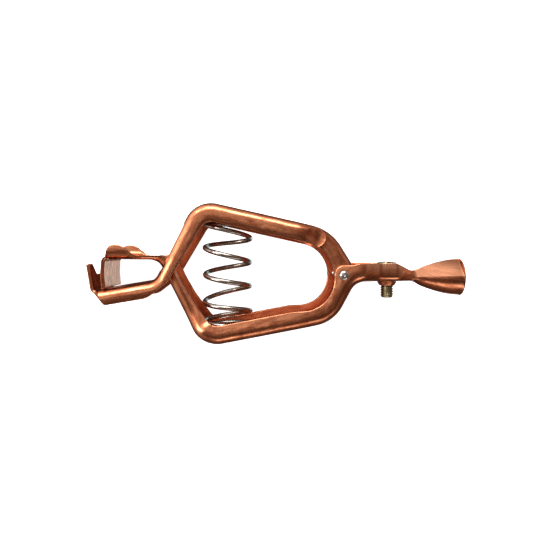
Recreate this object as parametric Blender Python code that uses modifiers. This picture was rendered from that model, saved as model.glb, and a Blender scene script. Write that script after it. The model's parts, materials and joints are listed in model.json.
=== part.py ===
"""A squeeze-to-open ground clamp for the return cable of an arc welder.

Two arms of pressed sheet copper cross like scissors and turn on a riveted pivot. Squeezing the grips
compresses a steel spring and opens the jaws. The lower arm's tail carries the terminal screw and is
rolled into a funnel for the cable.

The clamp lies on its side. X runs from the jaws (-X) to the cable funnel (+X), Y from the lower grip
to the upper grip, and Z through the depth of the channels. Lengths are millimetres. Places are
measured from the pivot's axis at mid depth, and one empty carries the whole clamp to its frame.
"""

import math

import bmesh
import bpy
from mathutils import Matrix, Vector

MM = 0.001
GAP = 0.3

# Where the pivot stands in the clamp's frame, whose origin is under the middle of its box.
PIVOT_PLACE = (31.239, -0.634, 16.0)

# Sheet copper, and the press tool's bend where a flange turns up from the web.
SHEET = 1.6
ROLLED_SHEET = 1.2
BEND = 4.5
ARM_HALF_WIDTH = 16.0

# Pivot: the lower arm's ears are outside the upper arm's ears.
OUTER_EAR = 14.5
INNER_EAR = OUTER_EAR - SHEET - GAP
EAR_RADIUS = 4.4
RIVET_RADIUS = 1.6
RIVET_HEAD_RADIUS = 2.3
RIVET_HEAD_HEIGHT = 1.2
RIVET_TAIL_HEIGHT = 1.0

# The tail's outer face is level, with a rolled funnel on the end of it.
TAIL_Y = -3.3
FUNNEL_END = 60.2
FUNNEL_Y = -1.35
ROLL_START = 33.0
ROLL_END = 41.0
NECK_X = 37.5
NECK_RADII = (4.6, 3.2)
MOUTH_RADIUS = 9.1
LIP_LENGTH = 1.6
LIP_RISE = 0.25
SEAM = 0.5

# Terminal screw, quarter inch, with its washers on the tail's inner face.
SCREW_X = 23.8
SCREW_RADIUS = 3.175
SCREW_END_Y = -11.7
HEAD_RADIUS = 4.8
HEAD_HEIGHT = 4.4
SLOT_WIDTH = 1.6
SLOT_DEPTH = 1.9
WASHER_HOLE = 3.5
FLAT_WASHER = (6.1, 1.2)
LOCK_WASHER = (5.3, 1.6)
COLLAR_BORE = 3.35
COLLAR_RADII = (4.7, 3.95)
COLLAR_HEIGHT = 2.3

# Spring: its coils fan out between the two grips.
SPRING_X = -56.5
WIRE_RADIUS = 1.2
SPRING_END_RADIUS = 11.7
SPRING_MID_RADIUS = 11.2
HALF_PITCH = 6.35
CLOSED_HALF_PITCH = 1.35
SPRING_STEPS = 10
# Half turns from the spring's middle to each end, and the end coil's height: lower end, upper end.
SPRING_ENDS = ((6.5, 27.2), (7.0, 29.15))
# Slope of a coil's plane against its height as a share of its end's height.
SPRING_TILTS = ((-1.0, 0.0), (-0.5, 0.085), (0.0, 0.0), (0.5, -0.075), (1.0, -0.125))

# Pressed bosses in both grips that keep the spring's ends in place.
BOSS_BASE = 8.4
BOSS_TOP = 7.2
BOSS_HEIGHT = 2.2
DENT_BASE = 7.0
DENT_TOP = 5.8

# Upper arm's window, which the lower arm passes through.
WINDOW_HALF_WIDTH = 13.8
WINDOW_LOW_Y = 1.8
WINDOW_HIGH_Y = 25.4
WINDOW_CORNER = 2.0

# Jaw tip of the upper arm: two corner teeth and a valley between them.
TOOTH_INNER = 10.6
VALLEY_HALF_WIDTH = 6.3
TOOTH_DEPTH = 5.2

# Shares of the web's half width at which its section has points.
WEB_SHARES = (1.0, 0.736, 0.4375, 0.0)
BEND_STEPS = 3
ARC_STEP = math.radians(9.0)

# Each arm's outer face along its length: x, y, radius of the corner, and station spacing after it.
UPPER_ROUTE = (
    (8.2, -0.3, 0.0, 3.0),
    (-5.5, 22.0, 21.8, 6.0),
    (-71.0, 36.8, 13.3, 3.0),
    (-90.7, -2.6, 6.6, 2.5),
    (-118.9, -7.3, 1.5, 3.0),
    (-121.1, 5.6, 0.0, 3.0),
)
LOWER_ROUTE = (
    (FUNNEL_END, TAIL_Y, 0.0, 1.9),
    (6.25, TAIL_Y, 7.6, 2.5),
    (-4.2, -22.6, 17.5, 6.0),
    (-68.3, -35.0, 13.8, 3.0),
    (-89.6, 7.6, 6.7, 1.7),
    (-114.1, 7.7, 1.5, 3.0),
    (-114.6, 0.8, 20.0, 3.0),
    (-113.9, -6.1, 0.0, 3.0),
)

# The free edge of each arm's flanges: x, y, radius of the corner, and point spacing after it.
UPPER_EDGE = (
    (-4.5, -12.0, 0.0, 50.0),
    (-4.5, 12.5, 16.4, 50.0),
    (-66.3, 26.4, 6.5, 50.0),
    (-83.8, -3.0, 3.0, 50.0),
    (-93.9, -10.8, 7.0, 50.0),
    (-114.4, -14.3, 1.5, 50.0),
    (-120.4, -6.4, 0.0, 50.0),
)
LOWER_EDGE = (
    (FUNNEL_END, 2.0, 0.0, 50.0),
    (34.6, 2.0, 3.0, 50.0),
    (26.8, 5.6, 4.0, 50.0),
    (7.5, 5.6, 2.0, 50.0),
    (4.4, 4.8, 2.0, 50.0),
    (-4.5, 4.8, 4.6, 50.0),
    (-4.5, -16.6, 15.5, 50.0),
    (-24.4, -17.2, 15.0, 50.0),
    (-63.4, -24.7, 6.5, 50.0),
    (-74.0, -10.3, 20.0, 50.0),
    (-78.5, -2.5, 20.0, 50.0),
    (-84.6, 9.7, 2.5, 50.0),
    (-87.8, 9.7, 1.5, 50.0),
    (-90.0, 9.3, 1.5, 50.0),
    (-100.0, 9.3, 4.0, 50.0),
    (-106.6, 14.7, 7.0, 50.0),
    (-113.0, 14.7, 3.5, 50.0),
    (-113.9, 8.7, 0.0, 50.0),
)

# Half widths of each arm against x, with a smooth change between one stop and the next.
UPPER_WIDTHS = (
    (-122.0, ARM_HALF_WIDTH),
    (-22.0, ARM_HALF_WIDTH),
    (-4.0, INNER_EAR),
    (9.0, INNER_EAR),
)
LOWER_WIDTHS = (
    (-115.0, 15.4),
    (-97.0, 15.4),
    (-90.0, 13.4),
    (-77.0, 13.4),
    (-69.0, ARM_HALF_WIDTH),
    (-20.0, ARM_HALF_WIDTH),
    (-2.0, OUTER_EAR),
    (8.2, OUTER_EAR),
    (20.0, 8.8),
    (26.0, 8.7),
    (36.5, NECK_RADII[0]),
    (61.0, NECK_RADII[0]),
)


def clear_scene():
    for obj in list(bpy.data.objects):
        bpy.data.objects.remove(obj, do_unlink=True)


def new_collection(name):
    collection = bpy.data.collections.new(name)
    bpy.context.scene.collection.children.link(collection)
    return collection


def material(name, color, metallic, roughness):
    made = bpy.data.materials.new(name)
    made.use_nodes = True
    shader = made.node_tree.nodes["Principled BSDF"]
    shader.inputs["Base Color"].default_value = (*color, 1.0)
    shader.inputs["Metallic"].default_value = metallic
    shader.inputs["Roughness"].default_value = roughness
    made.diffuse_color = (*color, 1.0)
    return made


def smooth_between(stops, x):
    """The value at x of a curve that eases from each stop to the next."""
    for (low, first), (high, last) in zip(stops, stops[1:]):
        if x <= high:
            share = min(max((x - low) / (high - low), 0.0), 1.0)
            return first + (last - first) * share * share * (3.0 - 2.0 * share)
    return stops[-1][1]


def stations_along(corners):
    """Points and headings along straight legs joined by round corners, and the last leg's index."""
    places = [Vector(corner[:2]) for corner in corners]
    found = []
    leg_start = places[0]
    for n in range(1, len(corners)):
        leg = places[n] - places[n - 1]
        heading = math.atan2(leg.y, leg.x)
        turn = 0.0
        if n < len(corners) - 1:
            onward = places[n + 1] - places[n]
            turn = math.remainder(math.atan2(onward.y, onward.x) - heading, math.tau)
        radius = corners[n][2]
        leg_end = places[n] - leg.normalized() * radius * math.tan(abs(turn) / 2.0)
        last_leg = len(found)
        count = max(1, math.ceil((leg_end - leg_start).length / corners[n - 1][3]))
        for k in range(count + 1):
            found.append((leg_start.lerp(leg_end, k / count), heading))
        if turn:
            found += arc_stations(leg_end, heading, turn, radius)
            leg_start = found.pop()[0]
    return found, last_leg


def arc_stations(start, heading, turn, radius):
    side = math.copysign(1.0, turn)
    centre = start + side * radius * Vector((-math.sin(heading), math.cos(heading)))
    count = max(2, math.ceil(abs(turn) / ARC_STEP))
    found = []
    for k in range(1, count + 1):
        angle = heading + turn * k / count
        spoke = Vector((math.sin(angle), -math.cos(angle)))
        found.append((centre + side * radius * spoke, angle))
    return found


def height_at(place, inward, edge):
    """How far the flange's free edge is from the arm's outer face, or one sheet where there is none."""
    nearest = math.inf
    for (first, _), (last, _) in zip(edge, edge[1:]):
        run = last - first
        across = inward.x * run.y - inward.y * run.x
        if abs(across) < 1e-9:
            continue
        offset = first - place
        along = (offset.x * run.y - offset.y * run.x) / across
        share = (offset.x * inward.y - offset.y * inward.x) / across
        if along > 0.0 and 0.0 <= share <= 1.0:
            nearest = min(nearest, along)
    return SHEET if nearest == math.inf else max(nearest, SHEET)


def channel_half(half_width, height):
    """Half a channel's section, from the flange's edge to mid web, as (z, depth) outside and inside."""
    bend = min(BEND, height, half_width / 3.0)
    inner_bend = max(bend - SHEET, 0.0)
    outside = [(half_width, height)]
    inside = [(half_width - SHEET, height)]
    middle = Vector((half_width - bend, bend))
    for k in range(BEND_STEPS + 1):
        angle = math.pi / 2.0 * k / BEND_STEPS
        spoke = Vector((math.cos(angle), -math.sin(angle)))
        outside.append(tuple(middle + bend * spoke))
        inner_middle = Vector((middle.x, SHEET + inner_bend))
        inside.append(tuple(inner_middle + inner_bend * spoke))
    for share in WEB_SHARES[1:]:
        outside.append((middle.x * share, 0.0))
        inside.append((middle.x * share, SHEET))
    return outside, inside


def rolled_half(x):
    """Half the rolled section of the neck and funnel, with as many points as a channel's half."""
    lip_start = FUNNEL_END - LIP_LENGTH
    share = min(max((x - NECK_X) / (lip_start - NECK_X), 0.0), 1.0)
    flare = 1.0 - (1.0 - share) ** 1.6
    lip = LIP_RISE * max(x - lip_start, 0.0) / LIP_LENGTH
    radii = [radius + (MOUTH_RADIUS - radius) * flare + lip for radius in NECK_RADII]
    middle = FUNNEL_Y - TAIL_Y
    steps = BEND_STEPS + len(WEB_SHARES)
    first = math.asin(SEAM / 2.0 / radii[0])
    outside = []
    inside = []
    for k in range(steps + 1):
        angle = first + (math.pi - first) * k / steps
        z = math.sin(angle)
        depth = math.cos(angle)
        outside.append((radii[0] * z, middle + radii[1] * depth))
        inside.append(((radii[0] - ROLLED_SHEET) * z, middle + (radii[1] - ROLLED_SHEET) * depth))
    return outside, inside


def blended(first, last, share):
    return [tuple(Vector(a).lerp(Vector(b), share)) for a, b in zip(first, last)]


def upper_half(x, height):
    return channel_half(smooth_between(UPPER_WIDTHS, x), height)


def lower_half(x, height):
    channel = channel_half(smooth_between(LOWER_WIDTHS, x), height)
    if x <= ROLL_START:
        return channel
    rolled = rolled_half(x)
    share = smooth_between(((ROLL_START, 0.0), (ROLL_END, 1.0)), x)
    return tuple(blended(channel[k], rolled[k], share) for k in range(2))


def whole_ring(half):
    """The full section as one closed ring: outside from +Z to -Z, then inside back again."""
    outside, inside = half
    across = [[*side, *((-z, depth) for z, depth in side[-2::-1])] for side in (outside, inside)]
    return across[0] + across[1][::-1]


def upper_tip_cut(z):
    """How much lower the jaw's tip ends at this depth than at its corner teeth."""
    share = (TOOTH_INNER - abs(z)) / (TOOTH_INNER - VALLEY_HALF_WIDTH)
    return TOOTH_DEPTH * min(max(share, 0.0), 1.0)


def straight_tip(z):
    return 0.0


def loft(name, corners, edge_corners, inward_side, half_at, tip_cut, collection):
    """An arm: its channel's section carried along its outer face, as one closed mesh."""
    stations, last_leg = stations_along(corners)
    edge = stations_along(edge_corners)[0]
    leg_start = stations[last_leg][0]
    leg_length = (stations[-1][0] - leg_start).length
    mesh = bmesh.new()
    rings = []
    for n, (place, heading) in enumerate(stations):
        inward = inward_side * Vector((-math.sin(heading), math.cos(heading)))
        onward = Vector((math.cos(heading), math.sin(heading)))
        tip_share = (place - leg_start).length / leg_length if n > last_leg else 0.0
        ring = []
        for z, depth in whole_ring(half_at(place.x, height_at(place, inward, edge))):
            at = place + inward * depth - onward * tip_cut(z) * tip_share
            ring.append(mesh.verts.new((at.x * MM, at.y * MM, z * MM)))
        rings.append(ring)
    size = len(rings[0])
    for before, after in zip(rings, rings[1:]):
        for k in range(size):
            j = (k + 1) % size
            mesh.faces.new((before[k], before[j], after[j], after[k]))
    for ring in (rings[0], rings[-1]):
        for k in range(size // 2 - 1):
            mesh.faces.new((ring[k], ring[k + 1], ring[size - 2 - k], ring[size - 1 - k]))
    bmesh.ops.remove_doubles(mesh, verts=mesh.verts, dist=1e-6)
    bmesh.ops.recalc_face_normals(mesh, faces=mesh.faces)
    return mesh_object(name, mesh, collection)


def mesh_object(name, mesh, collection):
    data = bpy.data.meshes.new(name)
    mesh.to_mesh(data)
    mesh.free()
    obj = bpy.data.objects.new(name, data)
    collection.objects.link(obj)
    return obj


def turned(name, profile, steps, place, axis, collection):
    """A solid of revolution from (radius, height) points, listed down the outside, turned about axis."""
    mesh = bmesh.new()
    verts = [mesh.verts.new((radius * MM, 0.0, height * MM)) for radius, height in profile]
    for first, last in zip(verts, verts[1:]):
        mesh.edges.new((first, last))
    obj = mesh_object(name, mesh, collection)
    screw = obj.modifiers.new("turn", "SCREW")
    screw.steps = steps
    screw.render_steps = steps
    screw.use_merge_vertices = True
    screw.merge_threshold = 0.000001
    obj.location = Vector(place) * MM
    obj.rotation_euler = Vector(axis).to_track_quat("Z", "Y").to_euler()
    return obj


def prism(name, outline, low, high, collection):
    """A flat outline in XY, extruded along Z."""
    mesh = bmesh.new()
    verts = [mesh.verts.new((x * MM, y * MM, low * MM)) for x, y in outline]
    face = mesh.faces.new(verts)
    extruded = bmesh.ops.extrude_face_region(mesh, geom=[face])["geom"]
    moved = [item for item in extruded if isinstance(item, bmesh.types.BMVert)]
    bmesh.ops.translate(mesh, verts=moved, vec=(0.0, 0.0, (high - low) * MM))
    bmesh.ops.recalc_face_normals(mesh, faces=mesh.faces)
    return mesh_object(name, mesh, collection)


def boolean(obj, other, operation):
    modifier = obj.modifiers.new(other.name, "BOOLEAN")
    modifier.operation = operation
    modifier.object = other


def hide_cutters(cutters):
    for obj in cutters.objects:
        obj.hide_render = True
        obj.display_type = "WIRE"


def cylinder_profile(radius, low, high):
    return [(0.0, high), (radius, high), (radius, low), (0.0, low)]


def cone_profile(top_radius, base_radius, low, high):
    return [(0.0, high), (top_radius, high), (base_radius, low), (0.0, low)]


def ring_profile(inner, outer, low, high):
    return [(inner, high), (outer, high), (outer, low), (inner, low), (inner, high)]


def grip_face(corners, first, x):
    """The point at x on the leg that starts at corner number first, and the leg's direction."""
    start = Vector(corners[first][:2])
    leg = Vector(corners[first + 1][:2]) - start
    return start + leg * ((x - start.x) / leg.x), leg.normalized()


def spring_seat(arm, corners, first, inward_side, cutters):
    """A pressed boss on the grip's inner face, with the dent it leaves in the outer face."""
    place, leg = grip_face(corners, first, SPRING_X)
    inward = inward_side * Vector((-leg.y, leg.x, 0.0))
    base = (place.x, place.y, 0.0)
    name = arm.name + "_boss"
    profile = cone_profile(BOSS_TOP, BOSS_BASE, SHEET / 2.0, SHEET + BOSS_HEIGHT)
    boolean(arm, turned(name, profile, 32, base, inward, cutters), "UNION")
    name = arm.name + "_dent"
    profile = cone_profile(DENT_TOP, DENT_BASE, -1.0, BOSS_HEIGHT)
    boolean(arm, turned(name, profile, 32, base, inward, cutters), "DIFFERENCE")


def rivet_holes(arm, cutters):
    profile = cylinder_profile(RIVET_RADIUS + GAP, -20.0, 20.0)
    cutter = turned(arm.name + "_rivet_holes", profile, 24, (0, 0, 0), (0, 0, 1), cutters)
    boolean(arm, cutter, "DIFFERENCE")


def rounded_box_outline(half_length, half_width, radius, steps):
    outline = []
    for quarter, (x, y) in enumerate(((1, 1), (-1, 1), (-1, -1), (1, -1))):
        for k in range(steps + 1):
            angle = math.pi / 2.0 * (quarter + k / steps)
            px = x * (half_length - radius) + radius * math.cos(angle)
            py = y * (half_width - radius) + radius * math.sin(angle)
            outline.append((px, py))
    return outline


def arm_window(arm, cutters):
    """The opening in the upper arm's web for the lower arm, from just under it to its highest place."""
    start = Vector(UPPER_ROUTE[2][:2])
    leg = Vector(UPPER_ROUTE[3][:2]) - start
    ends = [start + leg * ((y - start.y) / leg.y) for y in (WINDOW_LOW_Y, WINDOW_HIGH_Y)]
    middle = (ends[0] + ends[1]) / 2.0
    half_length = (ends[0] - ends[1]).length / 2.0
    outline = rounded_box_outline(half_length, WINDOW_HALF_WIDTH, WINDOW_CORNER, 4)
    cutter = prism(arm.name + "_window", outline, -2.0, 5.5, cutters)
    along = leg.normalized().to_3d()
    inward = Vector((-along.y, along.x, 0.0))
    across = inward.cross(along)
    turn = Matrix((along, across, inward)).transposed().to_4x4()
    cutter.matrix_world = Matrix.Translation(middle.to_3d() * MM) @ turn
    boolean(arm, cutter, "DIFFERENCE")


def upper_ears(arm, cutters):
    """Trims the pivot end to two round ears, with no web between them."""
    web_end = 5.2
    outline = [(-20.0, -25.0), (20.0, -25.0), (20.0, web_end), (EAR_RADIUS, web_end)]
    for k in range(17):
        angle = -math.pi * k / 16
        outline.append((EAR_RADIUS * math.cos(angle), EAR_RADIUS * math.sin(angle)))
    outline.append((-20.0, 0.0))
    boolean(arm, prism(arm.name + "_ear_shape", outline, -20.0, 20.0, cutters), "DIFFERENCE")
    half = INNER_EAR - SHEET
    outline = [(-3.0, -20.0), (15.0, -20.0), (15.0, web_end), (-3.0, web_end)]
    boolean(arm, prism(arm.name + "_web_end", outline, -half, half, cutters), "DIFFERENCE")


def upper_arm(parts, cutters, copper):
    arm = loft("upper_arm", UPPER_ROUTE, UPPER_EDGE, 1.0, upper_half, upper_tip_cut, parts)
    arm.data.materials.append(copper)
    spring_seat(arm, UPPER_ROUTE, 1, 1.0, cutters)
    arm_window(arm, cutters)
    upper_ears(arm, cutters)
    rivet_holes(arm, cutters)
    return arm


def terminal_collar(arm, cutters):
    """The tapped collar drawn down from the tail, and its bore."""
    top = TAIL_Y + SHEET / 2.0
    bottom = TAIL_Y - COLLAR_HEIGHT
    place = (SCREW_X, 0.0, 0.0)
    profile = cone_profile(COLLAR_RADII[0], COLLAR_RADII[1], bottom, top)
    collar = turned(arm.name + "_collar", profile, 32, place, (0, 1, 0), cutters)
    boolean(arm, collar, "UNION")
    profile = cylinder_profile(COLLAR_BORE, bottom - 2.0, top + 3.0)
    bore = turned(arm.name + "_collar_bore", profile, 32, place, (0, 1, 0), cutters)
    boolean(arm, bore, "DIFFERENCE")


def lower_arm(parts, cutters, copper):
    arm = loft("lower_arm", LOWER_ROUTE, LOWER_EDGE, -1.0, lower_half, straight_tip, parts)
    arm.data.materials.append(copper)
    spring_seat(arm, LOWER_ROUTE, 2, -1.0, cutters)
    terminal_collar(arm, cutters)
    rivet_holes(arm, cutters)
    return arm


def spring_height(turns):
    """Height of the wire's middle this many half turns from the middle, with a closed coil at each end."""
    end, end_height = SPRING_ENDS[turns > 0.0]
    closed = end - 2.0
    easing_pitch = (HALF_PITCH + CLOSED_HALF_PITCH) / 2.0
    fixed = 2.0 * CLOSED_HALF_PITCH + easing_pitch * closed
    full = (end_height - fixed) / (HALF_PITCH - easing_pitch)
    reach = abs(turns)
    height = HALF_PITCH * reach
    if reach > full:
        extra = min(reach, closed) - full
        fall = (HALF_PITCH - CLOSED_HALF_PITCH) / (closed - full)
        height -= fall * extra * extra / 2.0
    if reach > closed:
        height -= (HALF_PITCH - CLOSED_HALF_PITCH) * (reach - closed)
    return math.copysign(height, turns)


def spring_points():
    """The wire's middle: a left-hand helix whose coils lean towards whichever grip is nearer."""
    lower, upper = (end for end, _ in SPRING_ENDS)
    count = round((lower + upper) * SPRING_STEPS)
    points = []
    for k in range(count + 1):
        turns = (lower + upper) * k / count - lower
        height = spring_height(turns)
        share = height / SPRING_ENDS[turns > 0.0][1]
        radius = SPRING_MID_RADIUS + (SPRING_END_RADIUS - SPRING_MID_RADIUS) * abs(share)
        angle = math.pi * (turns + 1.0)
        across = radius * math.cos(angle)
        lean = smooth_between(SPRING_TILTS, share) * across
        points.append((SPRING_X + across, height + lean, radius * math.sin(angle)))
    return points


def spring(parts, steel):
    curve = bpy.data.curves.new("spring", "CURVE")
    curve.dimensions = "3D"
    curve.bevel_depth = WIRE_RADIUS * MM
    curve.bevel_resolution = 2
    curve.use_fill_caps = True
    points = spring_points()
    line = curve.splines.new("POLY")
    line.points.add(len(points) - 1)
    for point, place in zip(line.points, points):
        point.co = (*(Vector(place) * MM), 1.0)
    curve.materials.append(steel)
    obj = bpy.data.objects.new("spring", curve)
    parts.objects.link(obj)
    return obj


def pivot_rivet(name, side, parts, steel):
    """A domed head outside the outer ear, a shank through both ears, and an upset end inside."""
    seat = OUTER_EAR + GAP
    end = INNER_EAR - SHEET - GAP
    dome = []
    for k in range(5):
        angle = math.pi / 2.0 * k / 4
        dome.append((RIVET_HEAD_RADIUS * math.sin(angle), seat + RIVET_HEAD_HEIGHT * math.cos(angle)))
    upset = RIVET_RADIUS + 0.7
    tail = [
        (RIVET_RADIUS, seat),
        (RIVET_RADIUS, end),
        (upset, end),
        (upset, end - RIVET_TAIL_HEIGHT * 0.6),
        (upset - 0.5, end - RIVET_TAIL_HEIGHT),
        (0.0, end - RIVET_TAIL_HEIGHT),
    ]
    rivet = turned(name, dome + tail, 24, (0, 0, 0), (0, 0, side), parts)
    rivet.data.materials.append(steel)
    return rivet


def terminal_stack():
    """Heights of the undersides of the flat washer, the lock washer and the screw's head."""
    flat = TAIL_Y + SHEET + GAP
    lock = flat + FLAT_WASHER[1] + GAP
    head = lock + LOCK_WASHER[1] + GAP
    return flat, lock, head


def flat_washer(parts, steel):
    low = terminal_stack()[0]
    profile = ring_profile(WASHER_HOLE, FLAT_WASHER[0], low, low + FLAT_WASHER[1])
    washer = turned("flat_washer", profile, 32, (SCREW_X, 0, 0), (0, 1, 0), parts)
    washer.data.materials.append(steel)
    return washer


def lock_washer(parts, cutters, steel):
    low = terminal_stack()[1]
    profile = ring_profile(WASHER_HOLE, LOCK_WASHER[0], low, low + LOCK_WASHER[1])
    washer = turned("lock_washer", profile, 32, (SCREW_X, 0, 0), (0, 1, 0), parts)
    washer.data.materials.append(steel)
    half = 0.5
    lean = 0.8
    outline = [
        (-half - lean, low - 1.0),
        (half - lean, low - 1.0),
        (half + lean, low + LOCK_WASHER[1] + 1.0),
        (-half + lean, low + LOCK_WASHER[1] + 1.0),
    ]
    outline = [(SCREW_X + x, y) for x, y in outline]
    split = prism("lock_washer_split", outline, 1.0, 8.0, cutters)
    boolean(washer, split, "DIFFERENCE")
    return washer


def terminal_screw(parts, cutters, steel):
    seat = terminal_stack()[2]
    top = seat + HEAD_HEIGHT
    dome = [(0.0, top), (HEAD_RADIUS * 0.5, top - 0.12), (HEAD_RADIUS * 0.82, top - 0.5)]
    rest = [
        (HEAD_RADIUS, top - 1.2),
        (HEAD_RADIUS, seat),
        (SCREW_RADIUS, seat),
        (SCREW_RADIUS, SCREW_END_Y + 0.7),
        (SCREW_RADIUS - 0.6, SCREW_END_Y),
        (0.0, SCREW_END_Y),
    ]
    screw = turned("terminal_screw", dome + rest, 24, (SCREW_X, 0, 0), (0, 1, 0), parts)
    screw.data.materials.append(steel)
    half = SLOT_WIDTH / 2.0
    floor = top - SLOT_DEPTH
    outline = [(-half, floor), (half, floor), (half, top + 1.0), (-half, top + 1.0)]
    outline = [(SCREW_X + x, y) for x, y in outline]
    slot = prism("terminal_screw_slot", outline, -7.0, 7.0, cutters)
    boolean(screw, slot, "DIFFERENCE")
    return screw


def carry_to_frame(parts, cutters):
    """One empty on the pivot's axis carries every piece and cutter to the clamp's own frame."""
    pivot = bpy.data.objects.new("pivot", None)
    parts.objects.link(pivot)
    for obj in [*parts.objects, *cutters.objects]:
        if obj is not pivot:
            obj.parent = pivot
    pivot.location = Vector(PIVOT_PLACE) * MM


def shade(parts):
    for obj in parts.objects:
        if obj.type == "MESH":
            obj.data.shade_smooth()
            obj.data.set_sharp_from_angle(angle=math.radians(35.0))


def build():
    clear_scene()
    parts = new_collection("ground_clamp")
    cutters = new_collection("cutters")
    copper = material("copper", (0.72, 0.33, 0.19), 1.0, 0.28)
    wire = material("spring_steel", (0.50, 0.48, 0.46), 1.0, 0.30)
    rivet = material("rivet_steel", (0.66, 0.64, 0.62), 1.0, 0.25)
    zinc = material("zinc_plated_steel", (0.46, 0.45, 0.36), 1.0, 0.35)
    upper_arm(parts, cutters, copper)
    lower_arm(parts, cutters, copper)
    spring(parts, wire)
    pivot_rivet("pivot_rivet_front", 1.0, parts, rivet)
    pivot_rivet("pivot_rivet_back", -1.0, parts, rivet)
    flat_washer(parts, zinc)
    lock_washer(parts, cutters, zinc)
    terminal_screw(parts, cutters, zinc)
    hide_cutters(cutters)
    carry_to_frame(parts, cutters)
    shade(parts)


build()
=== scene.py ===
"""Looks of a squeeze-to-open ground clamp for the return cable of an arc welder.

Two arms of pressed sheet copper, a coil spring, two pivot rivets and a terminal screw with its
washers. Lengths are millimetres, measured from the pivot's axis at mid depth, as in the CAD model:
X runs towards the cable funnel, Y towards the upper grip, Z through the depth of the channels.
Every mesh is carried to the frame, in metres, as it is made.
"""

import json
import math

import bmesh
import bpy
from mathutils import Matrix, Vector

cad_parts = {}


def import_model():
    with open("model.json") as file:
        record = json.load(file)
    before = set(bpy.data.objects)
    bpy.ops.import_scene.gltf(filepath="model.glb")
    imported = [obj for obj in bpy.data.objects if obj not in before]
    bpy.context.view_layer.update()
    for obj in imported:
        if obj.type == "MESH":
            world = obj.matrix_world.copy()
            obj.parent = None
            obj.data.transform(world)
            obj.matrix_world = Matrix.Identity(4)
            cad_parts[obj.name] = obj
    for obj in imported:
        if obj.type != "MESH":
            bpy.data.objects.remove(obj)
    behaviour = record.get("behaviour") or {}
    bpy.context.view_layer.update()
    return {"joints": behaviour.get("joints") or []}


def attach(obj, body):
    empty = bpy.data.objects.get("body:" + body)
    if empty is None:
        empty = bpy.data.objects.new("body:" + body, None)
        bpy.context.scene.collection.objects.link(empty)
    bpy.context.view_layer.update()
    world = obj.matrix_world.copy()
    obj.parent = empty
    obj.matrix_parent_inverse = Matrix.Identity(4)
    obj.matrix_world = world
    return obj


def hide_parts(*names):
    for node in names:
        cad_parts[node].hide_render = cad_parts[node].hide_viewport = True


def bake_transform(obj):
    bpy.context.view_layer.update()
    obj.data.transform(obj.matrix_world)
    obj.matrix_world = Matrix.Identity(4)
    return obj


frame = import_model()

MM = 0.001
GAP = 0.3
PIVOT = Vector(next(joint for joint in frame["joints"] if joint["name"] == "jaw_opening")["pos_m"])

# Sheet copper: its thickness, the bend where a flange turns up, and the rounding of its cut edges.
SHEET = 1.6
ROLLED_SHEET = 1.2
BEND = 4.5
EDGE_ROUND = 0.32
EDGE_STEPS = 3
BEND_STEPS = 9
WEB_STEPS = 18
ARC_STEP = math.radians(3.0)
ARM_HALF_WIDTH = 16.0

# The inside of the channels gets a darker, redder and less metallic copper from here to the funnel's
# end: painted shade and painted red reflection between the channel walls.
SHADED_FROM_X = -92.0

# Pivot: the lower arm's ears are outside the upper arm's ears.
OUTER_EAR = 14.5
INNER_EAR = OUTER_EAR - SHEET - GAP
EAR_RADIUS = 4.4
RIVET_RADIUS = 1.6
RIVET_HEAD_RADIUS = 2.3
RIVET_HEAD_HEIGHT = 1.2
RIVET_TAIL_HEIGHT = 1.0

# The tail's outer face is level, with a rolled funnel on the end of it.
TAIL_Y = -3.3
FUNNEL_END = 60.2
FUNNEL_Y = -1.35
ROLL_START = 33.0
ROLL_END = 41.0
NECK_X = 37.5
NECK_RADII = (4.6, 3.2)
MOUTH_RADIUS = 9.1
LIP_LENGTH = 1.6
LIP_RISE = 0.25
SEAM = 0.5

# Terminal screw, quarter inch with 20 threads to the inch, and the washers under its head.
SCREW_X = 23.8
SCREW_RADIUS = 3.175
SCREW_PITCH = 1.27
THREAD_DEPTH = 0.46
SCREW_END_Y = -11.7
HEAD_RADIUS = 4.8
HEAD_HEIGHT = 4.4
SLOT_WIDTH = 1.6
SLOT_DEPTH = 1.9
WASHER_HOLE = 3.5
FLAT_WASHER = (6.1, 1.2)
LOCK_WASHER = (5.3, 1.6)
COLLAR_BORE = 3.35
COLLAR_RADII = (4.7, 3.95)
COLLAR_HEIGHT = 2.3

# Spring: its coils fan out between the two grips.
SPRING_X = -56.5
WIRE_RADIUS = 1.2
WIRE_SIDES = 18
SPRING_END_RADIUS = 11.7
SPRING_MID_RADIUS = 11.2
HALF_PITCH = 6.35
CLOSED_HALF_PITCH = 1.35
SPRING_STEPS = 26
SPRING_ENDS = ((6.5, 27.2), (7.0, 29.15))
SPRING_TILTS = ((-1.0, 0.0), (-0.5, 0.085), (0.0, 0.0), (0.5, -0.075), (1.0, -0.125))

# Round boss pressed into each grip to keep the spring's end in place.
BOSS_BASE = 8.4
BOSS_TOP = 6.6
BOSS_HEIGHT = 2.2

# Upper arm's window, which the lower arm passes through.
WINDOW_HALF_WIDTH = 13.8
WINDOW_LOW_Y = 1.8
WINDOW_HIGH_Y = 25.4
WINDOW_CORNER = 2.0

# Jaw tip of the upper arm: two corner teeth and a valley between them.
TOOTH_INNER = 10.6
VALLEY_HALF_WIDTH = 6.3
TOOTH_DEPTH = 5.2

# Shaping that is in the copper's material only: a roll of the flanges, a dent near the pivot, and
# the funnel's turning marks, which start between two places in the frame's X, in metres. The roll
# runs between two distances from mid web, along the sheet.
FLANGE_ROLL = (16.5, 24.0)
FLANGE_ROLL_DEPTH = 0.8
DENT_PLACE = (-13.3, 18.4, 14.6)
DENT_RADIUS = 5.2
DENT_DEPTH = 1.8
TURNED_X = (0.066, 0.074)
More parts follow.
